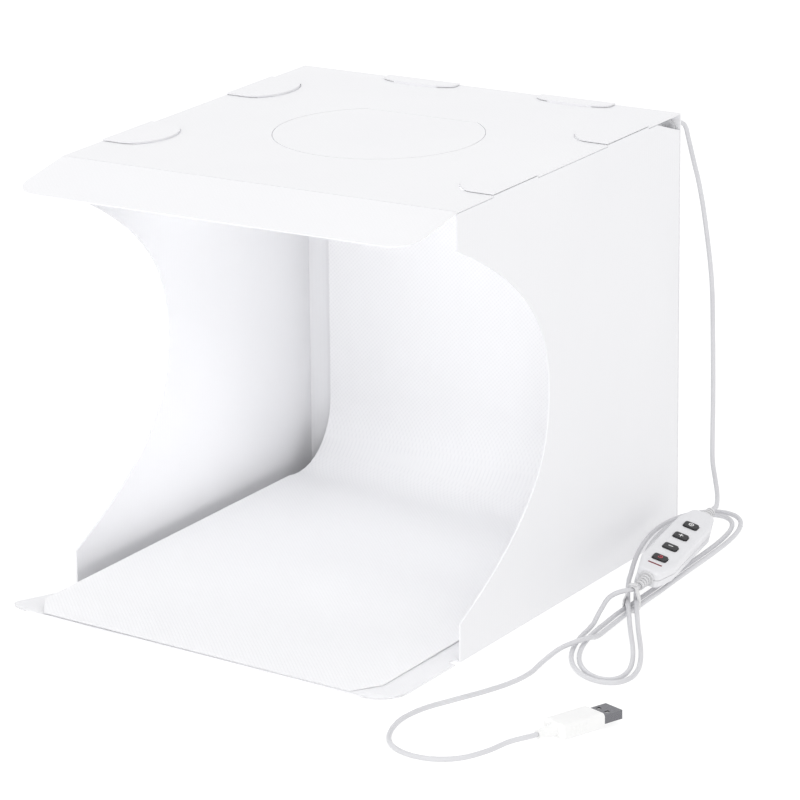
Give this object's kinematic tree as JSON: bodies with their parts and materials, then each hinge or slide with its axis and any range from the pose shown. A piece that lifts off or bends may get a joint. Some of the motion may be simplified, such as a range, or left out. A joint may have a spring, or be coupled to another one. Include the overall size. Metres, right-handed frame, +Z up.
{
  "type": "folding light tent",
  "caption": "Folding cube light tent of white sheet plastic with a roof hatch, visor, curved open front, ring light and corded hand controller.",
  "frame": {"origin": "on the table, at the middle of the box and its front lip seen from above", "axes": "+Z up, -Y out of the open front, +X towards the wall that the cord hangs beside"},
  "size_m": [0.3385, 0.3756, 0.2311],
  "materials": {
    "panel_plastic": "satin",
    "backdrop_plastic": "matte",
    "case_plastic": "satin",
    "button_rubber": "matte",
    "cord_rubber": "satin",
    "diffuser_plastic": "frosted",
    "circuit_board": "satin",
    "plug_metal": "polished",
    "loop_tape": "matte"
  },
  "bodies": {
    "base": {"floor_panel": "panel_plastic", "backdrop": "backdrop_plastic", "cord_drop": "cord_rubber", "cord_hank": "cord_rubber", "cord_tail": "cord_rubber", "hank_tie": "loop_tape", "controller_top": "case_plastic", "controller_bottom": "case_plastic", "controller_circuit": "circuit_board", "strain_relief_hank": "cord_rubber", "strain_relief_drop": "cord_rubber", "usb_grip": "case_plastic", "usb_shell": "plug_metal", "usb_tongue": "case_plastic"},
    "back": {"back_panel": "panel_plastic", "backdrop_pad_left": "loop_tape", "backdrop_pad_right": "loop_tape", "cable_grommet": "cord_rubber"},
    "roof": {"roof_panel": "panel_plastic", "led_tray": "case_plastic", "led_board": "circuit_board", "led_diffuser": "diffuser_plastic", "cord_inner": "cord_rubber"},
    "visor": {"visor_panel": "panel_plastic"},
    "hatch": {"hatch_flap": "panel_plastic"},
    "wall_left": {"left_wall": "panel_plastic"},
    "wall_right": {"right_wall": "panel_plastic"},
    "tab_left_front_body": {"tab_left_front": "panel_plastic"},
    "tab_left_rear_body": {"tab_left_rear": "panel_plastic"},
    "tab_right_front_body": {"tab_right_front": "panel_plastic"},
    "tab_right_rear_body": {"tab_right_rear": "panel_plastic"},
    "button_1_body": {"button_1": "button_rubber"},
    "button_2_body": {"button_2": "button_rubber"},
    "button_3_body": {"button_3": "button_rubber"},
    "button_4_body": {"button_4": "button_rubber"}
  },
  "joints": [
    {"name": "back_fold", "type": "hinge", "parent": "base", "child": "back", "pos_m": [0, 0.1476, 0.0004], "axis": [-1, 0, 0], "range_deg": [0, 90], "deforming": ["backdrop", "cord_drop", "tab_left_front", "tab_left_rear", "tab_right_front", "tab_right_rear"]},
    {"name": "roof_fold", "type": "hinge", "parent": "back", "child": "roof", "pos_m": [0, 0.1476, 0.2296], "axis": [-1, 0, 0], "range_deg": [0, 90], "deforming": ["cord_inner", "tab_left_front", "tab_left_rear", "tab_right_front", "tab_right_rear"]},
    {"name": "visor_fold", "type": "hinge", "parent": "roof", "child": "visor", "pos_m": [0, -0.0827, 0.2296], "axis": [1, 0, 0], "range_deg": [-80, 75]},
    {"name": "hatch_lift", "type": "hinge", "parent": "roof", "child": "hatch", "pos_m": [0, 0.07857, 0.23], "axis": [-1, 0, 0], "range_deg": [0, 120]},
    {"name": "left_wall_swing", "type": "hinge", "parent": "base", "child": "wall_left", "pos_m": [-0.1146, 0, 0.0004], "axis": [0, -1, 0], "range_deg": [0, 90], "deforming": ["tab_left_front", "tab_left_rear"]},
    {"name": "right_wall_swing", "type": "hinge", "parent": "base", "child": "wall_right", "pos_m": [0.1146, 0, 0.0004], "axis": [0, 1, 0], "range_deg": [0, 20], "deforming": ["tab_right_front", "tab_right_rear"]},
    {"name": "tab_left_front_lift", "type": "hinge", "parent": "wall_left", "child": "tab_left_front_body", "pos_m": [-0.1146, -0.025, 0.2307], "axis": [0, -1, 0], "range_deg": [0, 90]},
    {"name": "tab_left_rear_lift", "type": "hinge", "parent": "wall_left", "child": "tab_left_rear_body", "pos_m": [-0.1146, 0.091, 0.2307], "axis": [0, -1, 0], "range_deg": [0, 90]},
    {"name": "tab_right_front_lift", "type": "hinge", "parent": "wall_right", "child": "tab_right_front_body", "pos_m": [0.1146, -0.025, 0.2307], "axis": [0, 1, 0], "range_deg": [0, 90]},
    {"name": "tab_right_rear_lift", "type": "hinge", "parent": "wall_right", "child": "tab_right_rear_body", "pos_m": [0.1146, 0.091, 0.2307], "axis": [0, 1, 0], "range_deg": [0, 90]},
    {"name": "button_1_press", "type": "slide", "parent": "base", "child": "button_1_body", "axis": [-0.2673, 0.097, -0.9587], "range_m": [0, 0.0006], "stiffness_N_per_m": 900, "springref_m": -0.001},
    {"name": "button_2_press", "type": "slide", "parent": "base", "child": "button_2_body", "axis": [-0.2673, 0.097, -0.9587], "range_m": [0, 0.0006], "stiffness_N_per_m": 900, "springref_m": -0.001},
    {"name": "button_3_press", "type": "slide", "parent": "base", "child": "button_3_body", "axis": [-0.2673, 0.097, -0.9587], "range_m": [0, 0.0006], "stiffness_N_per_m": 900, "springref_m": -0.001},
    {"name": "button_4_press", "type": "slide", "parent": "base", "child": "button_4_body", "axis": [-0.2673, 0.097, -0.9587], "range_m": [0, 0.0006], "stiffness_N_per_m": 900, "springref_m": -0.001}
  ]
}
